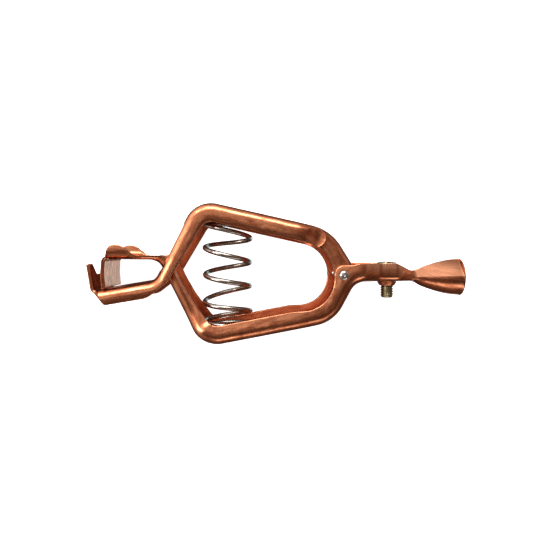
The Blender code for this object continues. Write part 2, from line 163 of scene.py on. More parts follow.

# Copper's colours, and how metallic it is, on the outside of the channels, and a darker, redder copy
# inside them as painted shade and painted reflection.
OUTSIDE_COPPER = {
    "pale": (0.68, 0.255, 0.125),
    "dark": (0.36, 0.098, 0.043),
    "rubbed": (0.84, 0.44, 0.265),
    "metallic": 1.0,
}
# Inside copy of the copper: darker, redder and less metallic, as painted shade and painted red
# reflection between the channel walls.
SHADE_PAINTED_COPPER = {
    "pale": (0.60, 0.135, 0.042),
    "dark": (0.38, 0.07, 0.02),
    "rubbed": (0.8, 0.3, 0.14),
    "metallic": 0.6,
}

# Surroundings. Each ramp has a direction's axis, where it starts and ends, and the level at each
# end. The band of light runs round the sides, the cap is overhead, the patch is low at the funnel's
# side.
BAND_RAMPS = (
    ("Z", -0.25, 0.20, 0.35, 1.0),
    ("Z", 0.48, 0.82, 1.0, 0.0),
    ("Z", -0.65, -0.30, 0.0, 1.0),
    ("Y", -0.6, 0.5, 0.30, 1.9),
    ("X", -0.4, 0.6, 1.15, 0.24),
)
CAP_RAMPS = (
    ("Z", 0.70, 0.94, 0.0, 1.0),
    ("Y", -0.10, 0.13, 0.06, 0.85),
    ("X", -0.1, 0.28, 1.0, 0.42),
)
PATCH_RAMPS = (
    ("X", 0.20, 0.35, 0.0, 1.0),
    ("Z", -0.85, -0.7, 1.0, 0.0),
)
PATCH_LEVEL = 2.4
LOWEST_LEVEL = 0.07

# Studio, in metres: the lights aim at the frame's origin, under the middle of the clamp.
SOFTBOXES = (
    ("softbox_back", (-0.15, 0.75, 0.55), (0.9, 0.35), 11.0),
    ("softbox_front", (0.25, -0.75, 0.45), (0.8, 0.3), 1.6),
    ("softbox_left", (-0.8, 0.1, 0.5), (0.3, 0.7), 6.0),
    ("softbox_top", (-0.03, -0.02, 0.59), (0.16, 0.04), 0.03),
)
FLOOR_HALF = 1.6
FLOOR_DROP = 0.00005
CAMERA_PLACE = (-0.0099, 0.0115, 0.278)
CAMERA_LENS = 34.0
CAMERA_SHIFT = (0.031, -0.0455)

# Each arm's outer face along its length: x, y, radius of the corner, and station spacing after it.
UPPER_ROUTE = (
    (8.2, -0.3, 0.0, 1.5),
    (-5.5, 22.0, 21.8, 1.0),
    (-71.0, 36.8, 13.3, 1.5),
    (-90.7, -2.6, 6.6, 1.0),
    (-118.9, -7.3, 1.5, 1.0),
    (-121.1, 5.6, 0.0, 1.0),
)
LOWER_ROUTE = (
    (FUNNEL_END, TAIL_Y, 0.0, 0.6),
    (6.25, TAIL_Y, 7.6, 0.6),
    (-4.2, -22.6, 17.5, 1.0),
    (-68.3, -35.0, 13.8, 1.5),
    (-89.6, 7.6, 6.7, 0.4),
    (-114.1, 7.7, 1.5, 0.8),
    (-114.6, 0.8, 20.0, 0.8),
    (-113.9, -6.1, 0.0, 0.8),
)

# The free edge of each arm's flanges: x, y, radius of the corner, and point spacing after it.
UPPER_EDGE = (
    (-4.5, -12.0, 0.0, 50.0),
    (-4.5, 12.5, 16.4, 50.0),
    (-66.3, 26.4, 6.5, 50.0),
    (-83.8, -3.0, 3.0, 50.0),
    (-93.9, -10.8, 7.0, 50.0),
    (-114.4, -14.3, 1.5, 50.0),
    (-120.4, -6.4, 0.0, 50.0),
)
LOWER_EDGE = (
    (FUNNEL_END, 2.0, 0.0, 50.0),
    (34.6, 2.0, 3.0, 50.0),
    (26.8, 5.6, 4.0, 50.0),
    (7.5, 5.6, 2.0, 50.0),
    (4.4, 4.8, 2.0, 50.0),
    (-4.5, 4.8, 4.6, 50.0),
    (-4.5, -16.6, 15.5, 50.0),
    (-24.4, -17.2, 15.0, 50.0),
    (-63.4, -24.7, 6.5, 50.0),
    (-74.0, -10.3, 20.0, 50.0),
    (-78.5, -2.5, 20.0, 50.0),
    (-84.6, 9.7, 2.5, 50.0),
    (-87.8, 9.7, 1.5, 50.0),
    (-90.0, 9.3, 1.5, 50.0),
    (-100.0, 9.3, 4.0, 50.0),
    (-106.6, 14.7, 7.0, 50.0),
    (-113.0, 14.7, 3.5, 50.0),
    (-113.9, 8.7, 0.0, 50.0),
)

# Half widths of each arm against x, with a smooth change between one stop and the next.
UPPER_WIDTHS = (
    (-122.0, ARM_HALF_WIDTH),
    (-22.0, ARM_HALF_WIDTH),
    (-4.0, INNER_EAR),
    (9.0, INNER_EAR),
)
LOWER_WIDTHS = (
    (-115.0, 15.4),
    (-97.0, 15.4),
    (-90.0, 13.4),
    (-77.0, 13.4),
    (-69.0, ARM_HALF_WIDTH),
    (-20.0, ARM_HALF_WIDTH),
    (-2.0, OUTER_EAR),
    (8.2, OUTER_EAR),
    (20.0, 8.8),
    (26.0, 8.7),
    (36.5, NECK_RADII[0]),
    (61.0, NECK_RADII[0]),
)


# ---------------------------------------------------------------- outlines


def eased(share):
    share = min(max(share, 0.0), 1.0)
    return share * share * (3.0 - 2.0 * share)


def smooth_between(stops, x):
    """The value at x of a curve that eases from each stop to the next."""
    for (low, first), (high, last) in zip(stops, stops[1:]):
        if x <= high:
            return first + (last - first) * eased((x - low) / (high - low))
    return stops[-1][1]


def quarter_turn(steps):
    """The angles of a quarter turn in equal steps, both ends included."""
    return [math.pi / 2.0 * k / steps for k in range(steps + 1)]


def arc_stations(start, heading, turn, radius):
    side = math.copysign(1.0, turn)
    centre = start + side * radius * Vector((-math.sin(heading), math.cos(heading)))
    count = max(2, math.ceil(abs(turn) / ARC_STEP))
    found = []
    for k in range(1, count + 1):
        angle = heading + turn * k / count
        spoke = Vector((math.sin(angle), -math.cos(angle)))
        found.append((centre + side * radius * spoke, angle))
    return found


def stations_along(corners):
    """Points and headings along straight legs joined by round corners, and the last leg's index."""
    places = [Vector(corner[:2]) for corner in corners]
    found = []
    leg_start = places[0]
    for n in range(1, len(corners)):
        leg = places[n] - places[n - 1]
        heading = math.atan2(leg.y, leg.x)
        turn = 0.0
        if n < len(corners) - 1:
            onward = places[n + 1] - places[n]
            turn = math.remainder(math.atan2(onward.y, onward.x) - heading, math.tau)
        radius = corners[n][2]
        leg_end = places[n] - leg.normalized() * radius * math.tan(abs(turn) / 2.0)
        last_leg = len(found)
        count = max(1, math.ceil((leg_end - leg_start).length / corners[n - 1][3]))
        for k in range(count + 1):
            found.append((leg_start.lerp(leg_end, k / count), heading))
        if turn:
            found += arc_stations(leg_end, heading, turn, radius)
            leg_start = found.pop()[0]
    return found, last_leg


def height_at(place, inward, edge):
    """How far the flange's free edge is from the arm's outer face: one sheet where there is none."""
    nearest = math.inf
    for (first, _), (last, _) in zip(edge, edge[1:]):
        run = last - first
        across = inward.x * run.y - inward.y * run.x
        if abs(across) < 1e-9:
            continue
        offset = first - place
        along = (offset.x * run.y - offset.y * run.x) / across
        share = (offset.x * inward.y - offset.y * inward.x) / across
        if along > 0.0 and 0.0 <= share <= 1.0:
            nearest = min(nearest, along)
    return SHEET if nearest == math.inf else max(nearest, SHEET)


# ---------------------------------------------------------------- sections of the sheet


def channel_half(half_width, height):
    """Half a channel's section: (outside, inside) pairs of (z, depth) from free edge to mid web."""
    bend = min(BEND, height, half_width / 3.0)
    inner_bend = max(bend - SHEET, 0.0)
    lip = min(EDGE_ROUND, height - bend)
    pairs = []
    for angle in quarter_turn(EDGE_STEPS):
        level = height - lip * (1.0 - math.cos(angle))
        thin = lip * (1.0 - math.sin(angle))
        pairs.append(((half_width - thin, level), (half_width - SHEET + thin, level)))
    middle = Vector((half_width - bend, bend))
    inner_middle = Vector((middle.x, SHEET + inner_bend))
    for angle in quarter_turn(BEND_STEPS):
        spoke = Vector((math.cos(angle), -math.sin(angle)))
        pairs.append((tuple(middle + bend * spoke), tuple(inner_middle + inner_bend * spoke)))
    for k in range(1, WEB_STEPS + 1):
        z = middle.x * (1.0 - k / WEB_STEPS)
        pairs.append(((z, 0.0), (z, SHEET)))
    return pairs


def developed(pairs):
    """Length along the middle of the sheet from the free edge to each pair."""
    middles = [(Vector(outside) + Vector(inside)) / 2.0 for outside, inside in pairs]
    lengths = [0.0]
    for first, last in zip(middles, middles[1:]):
        lengths.append(lengths[-1] + (last - first).length)
    return lengths


def rolled_half(x, lengths):
    """Half the neck's and funnel's rolled section, with a pair for each length along the sheet."""
    lip_start = FUNNEL_END - LIP_LENGTH
    share = min(max((x - NECK_X) / (lip_start - NECK_X), 0.0), 1.0)
    flare = 1.0 - (1.0 - share) ** 1.6
    lip = LIP_RISE * eased((x - lip_start) / LIP_LENGTH)
    radii = [radius + (MOUTH_RADIUS - radius) * flare + lip for radius in NECK_RADII]
    middle = FUNNEL_Y - TAIL_Y
    first = math.asin(SEAM / 2.0 / radii[0])
    pairs = []
    for k, length in enumerate(lengths):
        angle = first + (math.pi - first) * length / lengths[-1]
        ray = (math.sin(angle), math.cos(angle))
        thin = 0.0
        if k < EDGE_STEPS:
            thin = EDGE_ROUND * (1.0 - math.sin(math.pi / 2.0 * k / EDGE_STEPS))
        outer = [radius - thin for radius in radii]
        inner = [radius - ROLLED_SHEET + thin for radius in radii]
        outside = (outer[0] * ray[0], middle + outer[1] * ray[1])
        inside = (inner[0] * ray[0], middle + inner[1] * ray[1])
        pairs.append((outside, inside))
    return pairs


def upper_half(x, height):
    return channel_half(smooth_between(UPPER_WIDTHS, x), height)


def lower_half(x, height):
    channel = channel_half(smooth_between(LOWER_WIDTHS, x), height)
    if x <= ROLL_START:
        return channel
    share = eased((x - ROLL_START) / (ROLL_END - ROLL_START))
    found = []
    for flat, rolled in zip(channel, rolled_half(x, developed(channel))):
        found.append(tuple(tuple(Vector(a).lerp(Vector(b), share)) for a, b in zip(flat, rolled)))
    return found


def pinched(pairs, amount):
    """The section with each face moved in by this much, for the rounding of a cut end."""
    found = []
    for outside, inside in pairs:
        through = Vector(inside) - Vector(outside)
        step = through.normalized() * min(amount, through.length / 2.0)
        found.append((tuple(Vector(outside) + step), tuple(Vector(inside) - step)))
    return found


def upper_tip_cut(z):
    """How much lower the jaw's tip ends at this depth than at its corner teeth."""
    share = (TOOTH_INNER - abs(z)) / (TOOTH_INNER - VALLEY_HALF_WIDTH)
    return TOOTH_DEPTH * min(max(share, 0.0), 1.0)


def straight_tip(z):
    return 0.0


# ---------------------------------------------------------------- meshes


def placed(x, y, z):
    return PIVOT + Vector((x, y, z)) * MM


def new_object(name, mesh):
    data = bpy.data.meshes.new(name)
    mesh.to_mesh(data)
    mesh.free()
    obj = bpy.data.objects.new(name, data)
    bpy.context.scene.collection.objects.link(obj)
    return obj


def smooth(obj, degrees=32.0):
    obj.data.shade_smooth()
    obj.data.set_sharp_from_angle(angle=math.radians(degrees))


def end_roundings(stations):
    """(station number, how far back from the end, how much thinner) for both rounded ends."""
    last = len(stations) - 1
    found = [(n, 0.0, 0.0) for n in range(1, last)]
    for angle in quarter_turn(EDGE_STEPS):
        back = EDGE_ROUND * (1.0 - math.sin(angle))
        thin = EDGE_ROUND * (1.0 - math.cos(angle))
        found.append((last, back, thin))
        found.insert(0, (0, -back, thin))
    return found


def boss_lift(place, z, seat):
    """How far the boss lifts the sheet at this place on a grip's outer face."""
    reach = math.hypot((place - seat).length, z)
    return BOSS_HEIGHT * eased((BOSS_BASE - reach) / (BOSS_BASE - BOSS_TOP))


def loft(name, corners, edge_corners, inward_side, half_at, tip_cut, seat):
    """An arm: its channel's section carried along its outer face, as one closed mesh with UVs."""
    stations, last_leg = stations_along(corners)
    edge = stations_along(edge_corners)[0]
    leg_start = stations[last_leg][0]
    leg_length = (stations[-1][0] - leg_start).length
    mesh = bmesh.new()
    rings = []
    in_painted_shade = []
    ring_lengths = []
    travelled = 0.0
    before = stations[0][0]
    for n, back, thin in end_roundings(stations):
        place, heading = stations[n]
        inward = inward_side * Vector((-math.sin(heading), math.cos(heading)))
        onward = Vector((math.cos(heading), math.sin(heading)))
        half = half_at(place.x, height_at(place, inward, edge))
        lengths = developed(half)
        half = pinched(half, thin) if thin else half
        tip_share = (place - leg_start).length / leg_length if n > last_leg else 0.0
        place = place - onward * back
        travelled += (place - before).length
        before = place
        mirrored = [((-out[0], out[1]), (-ins[0], ins[1])) for out, ins in half[-2::-1]]
        across = [length - lengths[-1] for length in lengths]
        across += [-length for length in across[-2::-1]]
        outside = []
        inside = []
        for out, ins in half + mirrored:
            for ring, (z, depth) in ((outside, out), (inside, ins)):
                lift = boss_lift(place, z, seat) if depth <= SHEET else 0.0
                at = place + inward * (depth + lift) - onward * tip_cut(z) * tip_share
                ring.append(mesh.verts.new(placed(at.x, at.y, z)))
        rings.append(outside + inside[::-1])
        in_painted_shade.append(place.x > SHADED_FROM_X)
        ring_lengths.append([(travelled, v) for v in across + across[::-1]])
    uv_layer = mesh.loops.layers.uv.new("along_sheet")
    size = len(rings[0])

    first_inside = size // 2 + EDGE_STEPS

    def face(spots):
        made = mesh.faces.new([rings[n][k] for n, k in spots])
        # Inner faces past SHADED_FROM_X take the second material, the copper with painted shade and
        # painted reflection.
        made.material_index = int(all(in_painted_shade[n] and k >= first_inside for n, k in spots))
        for loop, (n, k) in zip(made.loops, spots):
            loop[uv_layer].uv = Vector(ring_lengths[n][k]) * MM

    for n in range(len(rings) - 1):
        for k in range(size):
            j = (k + 1) % size
            face(((n, k), (n, j), (n + 1, j), (n + 1, k)))
    for n in (0, len(rings) - 1):
        for k in range(size // 2 - 1):
            face(((n, k), (n, k + 1), (n, size - 2 - k), (n, size - 1 - k)))
    bmesh.ops.remove_doubles(mesh, verts=mesh.verts, dist=2e-7)
    bmesh.ops.recalc_face_normals(mesh, faces=mesh.faces)
    return new_object(name, mesh)


def wall_faces(mesh, rings):
    """Quads from each ring of vertices to the next."""
    made = []
    for first, last in zip(rings, rings[1:]):
        for k in range(len(first)):
            j = (k + 1) % len(first)
            made.append(mesh.faces.new((first[k], first[j], last[j], last[k])))
    return made


def turned_mesh(profile, steps, closed=False):
    """A solid of revolution about +Z from (radius, height) points, top first, in millimetres."""
    mesh = bmesh.new()
    rings = []
    for radius, height in profile:
        if radius < 1e-6:
            rings.append([mesh.verts.new((0.0, 0.0, height))])
            continue
        ring = []
        for k in range(steps):
            angle = math.tau * k / steps
            spot = (radius * math.cos(angle), radius * math.sin(angle), height)
            ring.append(mesh.verts.new(spot))
        rings.append(ring)
    follow = list(zip(rings, rings[1:]))
    if closed:
        follow.append((rings[-1], rings[0]))
    for first, last in follow:
        for k in range(steps):
            j = (k + 1) % steps
            corners = [first[k % len(first)], first[j % len(first)]]
            corners += [last[j % len(last)], last[k % len(last)]]
            corners = list(dict.fromkeys(corners))
            if len(corners) > 2:
                mesh.faces.new(corners)
    bmesh.ops.recalc_face_normals(mesh, faces=mesh.faces)
    return mesh


def turned(name, profile, steps, place, axis, closed=False):
    mesh = turned_mesh(profile, steps, closed)
    turn = Vector(axis).to_track_quat("Z", "Y").to_matrix()
    for vert in mesh.verts:
        vert.co = placed(*(turn @ vert.co + Vector(place)))
    return new_object(name, mesh)


def layered_prism(name, outline_at, levels, turn, place):
    """A prism along its own Z, outline_at(grow) at each (height, grow), then turned and placed."""
    mesh = bmesh.new()
    rings = []
    for height, grow in levels:
        ring = []
        for x, y in outline_at(grow):
            ring.append(mesh.verts.new(placed(*(turn @ Vector((x, y, height)) + Vector(place)))))
        rings.append(ring)
    wall_faces(mesh, rings)
    mesh.faces.new(rings[0])
    mesh.faces.new(rings[-1])
    bmesh.ops.recalc_face_normals(mesh, faces=mesh.faces)
    return new_object(name, mesh)


def flared_levels(low, high, beyond):
    """Levels of a cutter that rounds both edges of its hole through a plate from low to high."""
    first = []
    for angle in quarter_turn(EDGE_STEPS):
        first.append((EDGE_ROUND * (1.0 - math.cos(angle)), EDGE_ROUND * (1.0 - math.sin(angle))))
    levels = [(low - beyond, EDGE_ROUND)]
    levels += [(low + depth, grow) for depth, grow in first]
    levels += [(high - depth, grow) for depth, grow in first[::-1]]
    levels.append((high + beyond, EDGE_ROUND))
    return levels


def apply_boolean(obj, cutter, operation):
    """Joins or cuts with the exact solver, keeps the result and removes the cutter."""
    modifier = obj.modifiers.new("boolean", "BOOLEAN")
    modifier.operation = operation
    modifier.object = cutter
    graph = bpy.context.evaluated_depsgraph_get()
    cut = bpy.data.meshes.new_from_object(obj.evaluated_get(graph), depsgraph=graph)
    obj.modifiers.clear()
    old = obj.data
    obj.data = cut
    bpy.data.meshes.remove(old)
    bpy.data.objects.remove(cutter, do_unlink=True)


# ---------------------------------------------------------------- arms


def grip_face(corners, first, x):
    """The point at x on the leg that starts at corner number first."""
    start = Vector(corners[first][:2])
    leg = Vector(corners[first + 1][:2]) - start
    return start + leg * ((x - start.x) / leg.x)


def rounded_box_outline(half_length, half_width, radius):
    steps = 8
    outline = []
    for quarter, (x, y) in enumerate(((1, 1), (-1, 1), (-1, -1), (1, -1))):
        for k in range(steps + 1):
            angle = math.pi / 2.0 * (quarter + k / steps)
            px = x * (half_length - radius) + radius * math.cos(angle)
            py = y * (half_width - radius) + radius * math.sin(angle)
            outline.append((px, py))
    return outline


def cut_window(arm):
    """The opening in the upper arm's web for the lower arm, with rounded edges."""
    start = Vector(UPPER_ROUTE[2][:2])
    leg = Vector(UPPER_ROUTE[3][:2]) - start
    ends = [start + leg * ((y - start.y) / leg.y) for y in (WINDOW_LOW_Y, WINDOW_HIGH_Y)]
    middle = (ends[0] + ends[1]) / 2.0
    half_length = (ends[0] - ends[1]).length / 2.0
    along = leg.normalized().to_3d()
    inward = Vector((-along.y, along.x, 0.0))
    turn = Matrix((along, inward.cross(along), inward)).transposed()

    def outline_at(grow):
        sizes = (half_length + grow, WINDOW_HALF_WIDTH + grow, WINDOW_CORNER + grow)
        return rounded_box_outline(*sizes)

    outer_reach = 2.0
    inner_reach = 5.5
    levels = flared_levels(0.0, SHEET, 0.4)
    levels = [(-outer_reach, EDGE_ROUND), *levels, (inner_reach, EDGE_ROUND)]
    cutter = layered_prism("window_cutter", outline_at, levels, turn, middle.to_3d())
    apply_boolean(arm, cutter, "DIFFERENCE")


def cut_upper_ears(arm):
    """Trims the pivot end to two round ears, with no web between them."""
    web_end = 5.2
    round_steps = 40
    for side in (-1.0, 1.0):

        def outline_at(grow):
            radius = EAR_RADIUS - grow
            outline = [(-20.0, -25.0), (20.0, -25.0)]
            outline += [(20.0, web_end + grow), (radius, web_end + grow)]
            for k in range(round_steps + 1):
                angle = -math.pi * k / round_steps
                outline.append((radius * math.cos(angle), radius * math.sin(angle)))
            outline.append((-20.0, 0.0))
            return outline

        levels = flared_levels(INNER_EAR - SHEET, INNER_EAR, 3.0)
        levels = [(side * height, grow) for height, grow in levels]
        cutter = layered_prism("ear_cutter", outline_at, levels, Matrix.Identity(3), (0, 0, 0))
        apply_boolean(arm, cutter, "DIFFERENCE")
    half = INNER_EAR - SHEET - 0.01

    def box_at(grow):
        return [(-3.0, -20.0), (15.0, -20.0), (15.0, web_end + grow), (-3.0, web_end + grow)]

    levels = [(-half, 0.0), (half, 0.0)]
    cutter = layered_prism("web_end_cutter", box_at, levels, Matrix.Identity(3), (0, 0, 0))
    apply_boolean(arm, cutter, "DIFFERENCE")


def cut_rivet_holes(arm, ear):
    """A rivet hole through each ear, with rounded edges."""
    for side in (-1.0, 1.0):
        levels = flared_levels(ear - SHEET, ear, 2.0)
        profile = [(RIVET_RADIUS + GAP + grow, height) for height, grow in levels[::-1]]
        profile = [(0.0, profile[0][1]), *profile, (0.0, profile[-1][1])]
        cutter = turned("rivet_hole_cutter", profile, 48, (0, 0, 0), (0, 0, side))
        apply_boolean(arm, cutter, "DIFFERENCE")


def add_collar(arm):
    """The collar drawn down from the tail, which flows out of the sheet, and its tapped bore."""
    bottom = TAIL_Y - COLLAR_HEIGHT
    flow = 0.75
    rooted = TAIL_Y + 0.5
    profile = [(0.0, rooted), (COLLAR_RADII[0] + flow, rooted)]
    for angle in quarter_turn(6):
        radius = COLLAR_RADII[0] + flow * (1.0 - math.sin(angle))
        profile.append((radius, TAIL_Y + 0.01 - flow * (1.0 - math.cos(angle))))
    for angle in quarter_turn(EDGE_STEPS):
        radius = COLLAR_RADII[1] - EDGE_ROUND * (1.0 - math.cos(angle))
        profile.append((radius, bottom + EDGE_ROUND * (1.0 - math.sin(angle))))
    profile.append((0.0, bottom))
    place = (SCREW_X, 0.0, 0.0)
    apply_boolean(arm, turned("collar_cutter", profile, 64, place, (0, 1, 0)), "UNION")
    entry = 0.5
    exit_bevel = 0.25
    beyond = 1.0
    top = TAIL_Y + SHEET
    wide = COLLAR_BORE + entry
    wide_exit = COLLAR_BORE + exit_bevel
    bore = [(0.0, top + beyond), (wide, top + beyond), (wide, top)]
    bore += [(COLLAR_BORE + entry * 0.3, top - entry * 0.3), (COLLAR_BORE, top - entry)]
    bore += [(COLLAR_BORE, bottom + exit_bevel), (wide_exit, bottom)]
    bore += [(wide_exit, bottom - beyond), (0.0, bottom - beyond)]
    apply_boolean(arm, turned("bore_cutter", bore, 64, place, (0, 1, 0)), "DIFFERENCE")


def upper_arm(copper):
    seat = grip_face(UPPER_ROUTE, 1, SPRING_X)
    arm = loft("upper_arm_sheet", UPPER_ROUTE, UPPER_EDGE, 1.0, upper_half, upper_tip_cut, seat)
    cut_window(arm)
    cut_upper_ears(arm)
    cut_rivet_holes(arm, INNER_EAR)
    finish_piece(arm, copper, "upper_arm", "upper_arm")


def lower_arm(copper):
    seat = grip_face(LOWER_ROUTE, 2, SPRING_X)
    arm = loft("lower_arm_sheet", LOWER_ROUTE, LOWER_EDGE, -1.0, lower_half, straight_tip, seat)
    add_collar(arm)
    cut_rivet_holes(arm, OUTER_EAR)
    finish_piece(arm, copper, "lower_arm", "lower_arm")


def finish_piece(obj, looks, body, node, degrees=32.0):
    """Gives a piece its materials, shading and body, and hides the CAD node it stands for."""
    slots = obj.data.materials
    for k, look in enumerate(looks):
        if k < len(slots):
            slots[k] = look
        else:
            slots.append(look)
    smooth(obj, degrees)
    if body:
        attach(obj, body)
    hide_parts(node)


# ---------------------------------------------------------------- spring


def spring_height(turns):
    """Height of the wire this many half turns from the middle, with a closed coil at each end."""
    end, end_height = SPRING_ENDS[turns > 0.0]
    closed = end - 2.0
    easing_pitch = (HALF_PITCH + CLOSED_HALF_PITCH) / 2.0
    fixed = 2.0 * CLOSED_HALF_PITCH + easing_pitch * closed
    full = (end_height - fixed) / (HALF_PITCH - easing_pitch)
    reach = abs(turns)
    height = HALF_PITCH * reach
    if reach > full:
        extra = min(reach, closed) - full
        fall = (HALF_PITCH - CLOSED_HALF_PITCH) / (closed - full)
        height -= fall * extra * extra / 2.0
    if reach > closed:
        height -= (HALF_PITCH - CLOSED_HALF_PITCH) * (reach - closed)
    return math.copysign(height, turns)


def spring_points():
    """The wire's middle: a left-hand helix whose coils lean towards whichever grip is nearer."""
    lower, upper = (end for end, _ in SPRING_ENDS)
    count = round((lower + upper) * SPRING_STEPS)
    points = []
    for k in range(count + 1):
        turns = (lower + upper) * k / count - lower
        height = spring_height(turns)
        share = height / SPRING_ENDS[turns > 0.0][1]
        radius = SPRING_MID_RADIUS + (SPRING_END_RADIUS - SPRING_MID_RADIUS) * abs(share)
        angle = math.pi * (turns + 1.0)
        across = radius * math.cos(angle)
        lean = smooth_between(SPRING_TILTS, share) * across
        points.append(Vector((SPRING_X + across, height + lean, radius * math.sin(angle))))
    return points


def tube(name, points, radius, sides):
    """A round wire along points, with slightly tapered cut ends, and UVs along and round it."""
    mesh = bmesh.new()
    uv_layer = mesh.loops.layers.uv.new("along_wire")
    taper = 0.25
    spine = [(points[0], radius - taper)]
    spine += [(point, radius) for point in points[1:-1]]
    spine.append((points[-1], radius - taper))
    rings = []
    travelled = [0.0]
    for n, (point, ring_radius) in enumerate(spine):
        before = spine[max(n - 1, 0)][0]
        after = spine[min(n + 1, len(spine) - 1)][0]
        tangent = (after - before).normalized()
        side = Vector((0.0, 1.0, 0.0)).cross(tangent).normalized()
        up = tangent.cross(side)
        ring = []
        for k in range(sides):
            angle = math.tau * k / sides
            at = point + ring_radius * (math.cos(angle) * side + math.sin(angle) * up)
            ring.append(mesh.verts.new(placed(*at)))
        rings.append(ring)
        travelled.append(travelled[-1] + (after - point).length)
    for n, (first, last) in enumerate(zip(rings, rings[1:])):
        for k in range(sides):
            j = (k + 1) % sides
            face = mesh.faces.new((first[k], first[j], last[j], last[k]))
            spots = ((n, k), (n, k + 1), (n + 1, k + 1), (n + 1, k))
            for loop, (m, i) in zip(face.loops, spots):
                loop[uv_layer].uv = (travelled[m] * MM, math.tau * radius * i / sides * MM)
    mesh.faces.new(rings[0][::-1])
    mesh.faces.new(rings[-1])
    bmesh.ops.recalc_face_normals(mesh, faces=mesh.faces)
    return new_object(name, mesh)


def spring(steel):
    coil = tube("spring_coil", spring_points(), WIRE_RADIUS, WIRE_SIDES)
    finish_piece(coil, steel, None, "spring", 50.0)
    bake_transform(coil)


# ---------------------------------------------------------------- rivets, screw and washers


def pivot_rivet(name, side, node, steel):
    """A domed head with the punch's dimple, a shank through both ears, and an upset end inside."""
    seat = OUTER_EAR + GAP
    end = INNER_EAR - SHEET - GAP
    dimple_radius = 0.75
    dimple_depth = 0.3
    dimple_steps = 6
    dome_steps = 14
    rim = 0.12
    profile = []
    for k in range(dimple_steps + 1):
        share = k / dimple_steps
        drop = dimple_depth * (1.0 - eased(share))
        angle = math.asin(dimple_radius * share / RIVET_HEAD_RADIUS)
        height = seat + RIVET_HEAD_HEIGHT * math.cos(angle) - drop
        profile.append((dimple_radius * share, height))
    first = math.asin(dimple_radius / RIVET_HEAD_RADIUS)
    for k in range(1, dome_steps + 1):
        angle = first + (math.pi / 2.0 - first) * k / dome_steps
        radius = RIVET_HEAD_RADIUS * math.sin(angle)
        profile.append((radius, seat + rim + (RIVET_HEAD_HEIGHT - rim) * math.cos(angle)))
    upset = RIVET_RADIUS + 0.7
    upset_round = 0.6
    upset_wall = 0.3
    bevel = 0.1
    profile += [(RIVET_HEAD_RADIUS - bevel, seat), (RIVET_RADIUS, seat), (RIVET_RADIUS, end)]
    profile.append((upset - bevel, end))
    for angle in quarter_turn(6):
        radius = upset - upset_round + upset_round * math.cos(angle)
        drop = upset_wall + (RIVET_TAIL_HEIGHT - upset_wall) * math.sin(angle)
        profile.append((radius, end - drop))
    profile += [(0.8, end - RIVET_TAIL_HEIGHT + 0.02), (0.5, end - 0.45), (0.0, end - 0.4)]
    rivet = turned(name, profile, 64, (0, 0, 0), (0, 0, side))
    finish_piece(rivet, steel, "lower_arm", node)


def terminal_stack():
    """Heights of the undersides of the flat washer, the lock washer and the screw's head."""
    flat = TAIL_Y + SHEET + GAP
    lock = flat + FLAT_WASHER[1] + GAP
    head = lock + LOCK_WASHER[1] + GAP
    return flat, lock, head


def flat_washer(steel):
    """A stamped washer: its upper edges rolled over by the punch, its lower edges nearly sharp."""
    low = terminal_stack()[0]
    high = low + FLAT_WASHER[1]
    roll = 0.28
    bevel = 0.06
    rim = FLAT_WASHER[0]
    profile = []
    for angle in quarter_turn(4):
        radius = rim - roll + roll * math.sin(angle)
        profile.append((radius, high - roll + roll * math.cos(angle)))
    profile += [(rim, low + bevel), (rim - bevel, low)]
    profile += [(WASHER_HOLE + bevel, low), (WASHER_HOLE, low + bevel)]
    for angle in quarter_turn(4):
        radius = WASHER_HOLE + roll - roll * math.cos(angle)
        profile.append((radius, high - roll + roll * math.sin(angle)))
    washer = turned("flat_washer_plate", profile, 72, (SCREW_X, 0, 0), (0, 1, 0), closed=True)
    finish_piece(washer, steel, "terminal_washers", "flat_washer")


def lock_washer(steel):
    """A split washer: a bevelled square section carried once round, rising as it goes."""
    low = terminal_stack()[1]
    wire_height = 1.25
    rise = LOCK_WASHER[1] - wire_height
    bevel = 0.14
    slant_of_cut = 0.09
    inner, outer = WASHER_HOLE, LOCK_WASHER[0]
    section = []
    for radius, height, towards in (
        (inner, 0.0, (1, 1)),
        (outer, 0.0, (-1, 1)),
        (outer, wire_height, (-1, -1)),
        (inner, wire_height, (1, -1)),
    ):
        pair = [(radius, height + bevel * towards[1]), (radius + bevel * towards[0], height)]
        section += pair if len(section) % 4 == 0 else pair[::-1]
    steps = 96
    first = math.radians(6.0)
    mesh = bmesh.new()
    rings = []
    for k in range(steps + 1):
        share = k / steps
        angle = math.pi / 2.0 + first + (math.tau - 2.0 * first) * share
        ring = []
        for radius, height in section:
            slant = slant_of_cut * (height / wire_height - 0.5) if k in (0, steps) else 0.0
            x = SCREW_X + radius * math.cos(angle + slant)
            z = radius * math.sin(angle + slant)
            ring.append(mesh.verts.new(placed(x, low + rise * share + height, z)))
        rings.append(ring)
    wall_faces(mesh, rings)
    mesh.faces.new(rings[0])
    mesh.faces.new(rings[-1])
    bmesh.ops.recalc_face_normals(mesh, faces=mesh.faces)
    washer = new_object("lock_washer_ring", mesh)
    finish_piece(washer, steel, "terminal_washers", "lock_washer")


def thread_radius(angle, height, top):
    """The thread's radius at this angle and height, with a run-out on top and a chamfered end."""
    phase = (height / SCREW_PITCH - angle / math.tau) % 1.0
    flank = abs(2.0 * phase - 1.0)
    crest = 0.14
    root = 0.16
    share = min(max((flank - root) / (1.0 - root - crest), 0.0), 1.0)
    run_out = eased((top - height) / SCREW_PITCH)
    radius = SCREW_RADIUS - THREAD_DEPTH * (1.0 - share) * run_out
    end_chamfer = 0.75
    chamfer_slope = 0.9
    chamfer = SCREW_RADIUS - end_chamfer + (height - SCREW_END_Y) * chamfer_slope
    return min(radius, chamfer)


